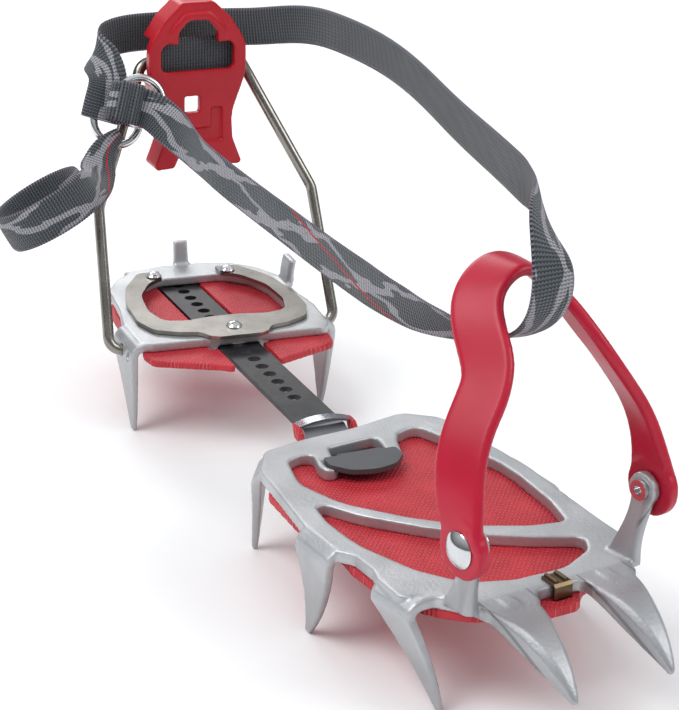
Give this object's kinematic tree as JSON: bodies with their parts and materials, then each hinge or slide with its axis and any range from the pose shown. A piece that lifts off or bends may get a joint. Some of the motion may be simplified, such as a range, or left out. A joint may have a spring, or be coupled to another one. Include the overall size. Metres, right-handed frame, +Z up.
{
  "type": "strap-on crampon",
  "caption": "Hiking crampon with toe and heel sections on a linking bar, plastic toe bail, wire heel bail with lever, buckled webbing strap and red snow plates.",
  "frame": {"origin": "on the plane of the tips of the downward points, below the middle of the T slot that carries the linking bar", "axes": "+X to the toe, +Y to the wearer's left, +Z up away from the points"},
  "size_m": [0.3463, 0.1377, 0.1585],
  "materials": {
    "cast_frame": "satin cast",
    "snow_plate": "moulded twill grain",
    "keeper_steel": "brushed",
    "clip_bronze": "dark bronzed",
    "bail_plastic": "semi gloss",
    "rivet_chrome": "polished",
    "bar_steel": "black oxide",
    "spring_steel": "brushed stainless",
    "bail_wire": "drawn stainless wire",
    "lever_plastic": "semi gloss",
    "webbing": "woven flat webbing",
    "ring_chrome": "polished"
  },
  "bodies": {
    "toe_section": {"toe_frame": "cast_frame", "toe_plate": "snow_plate", "plate_keeper": "keeper_steel", "front_clip": "clip_bronze", "bail_rivets": "rivet_chrome"},
    "bar": {"linking_bar": "bar_steel"},
    "heel_section": {"heel_frame": "cast_frame", "heel_plate": "snow_plate", "plate_rivets": "rivet_chrome"},
    "lock": {"spring_plate": "spring_steel", "lock_pin": "rivet_chrome"},
    "wire_bail": {"heel_bail": "bail_wire"},
    "lever": {"heel_lever": "lever_plastic", "strap_slot": "webbing"},
    "strap": {"strap_long": "webbing", "strap_patch": "webbing", "strap_tail": "webbing"},
    "buckle_ring_upper": {"ring_upper": "ring_chrome"},
    "buckle_ring_lower": {"ring_lower": "ring_chrome"},
    "toe_hoop": {"toe_bail": "bail_plastic"}
  },
  "joints": [
    {"name": "bar_rock", "type": "hinge", "parent": "toe_section", "child": "bar", "pos_m": [0.00793, -0.00102, 0.0351], "axis": [0.1271, 0.9919, 0], "range_deg": [-1.5, 1.5]},
    {"name": "heel_slide", "type": "slide", "parent": "bar", "child": "heel_section", "axis": [0.9919, -0.1271, 0], "range_m": [-0.008, 0.008]},
    {"name": "lock_lift", "type": "hinge", "parent": "heel_section", "child": "lock", "pos_m": [-0.17627, 0.02738, 0.0391], "axis": [-0.2011, -0.9796, 0], "range_deg": [0, 3], "stiffness_Nm_per_rad": 3},
    {"name": "wire_swing", "type": "hinge", "parent": "heel_section", "child": "wire_bail", "pos_m": [-0.12458, 0.01596, 0.0318], "axis": [0.1271, 0.9919, 0], "range_deg": [-2, 4]},
    {"name": "lever_flip", "type": "hinge", "parent": "wire_bail", "child": "lever", "pos_m": [-0.16351, 0.02094, 0.13403], "axis": [0.1271, 0.9919, 0], "range_deg": [-5, 40]},
    {"name": "strap_level", "type": "hinge", "parent": "wire_bail", "child": "strap", "pos_m": [-0.16351, 0.02094, 0.13403], "axis": [0.1271, 0.9919, 0], "range_deg": [-4, 2]},
    {"name": "toe_bail_swing", "type": "hinge", "parent": "toe_section", "child": "toe_hoop", "pos_m": [0.1116, 0.0031, 0.0586], "axis": [-0.0993, 0.9951, 0], "range_deg": [-2.95, 5.9]},
    {"name": "ring_upper_turn", "type": "hinge", "parent": "strap", "child": "buckle_ring_upper", "pos_m": [-0.14875, -0.00776, 0.1238], "axis": [0.926, -0.1186, 0.3584], "continuous": true},
    {"name": "ring_lower_turn", "type": "hinge", "parent": "strap", "child": "buckle_ring_lower", "pos_m": [-0.15458, -0.01518, 0.11519], "axis": [0.926, -0.1186, 0.3584], "continuous": true}
  ],
  "couplings": [
    {"joint": "strap_level", "follows": "wire_swing", "ratio": -1},
    {"joint": "toe_bail_swing", "follows": "wire_swing", "ratio": 1.47}
  ]
}
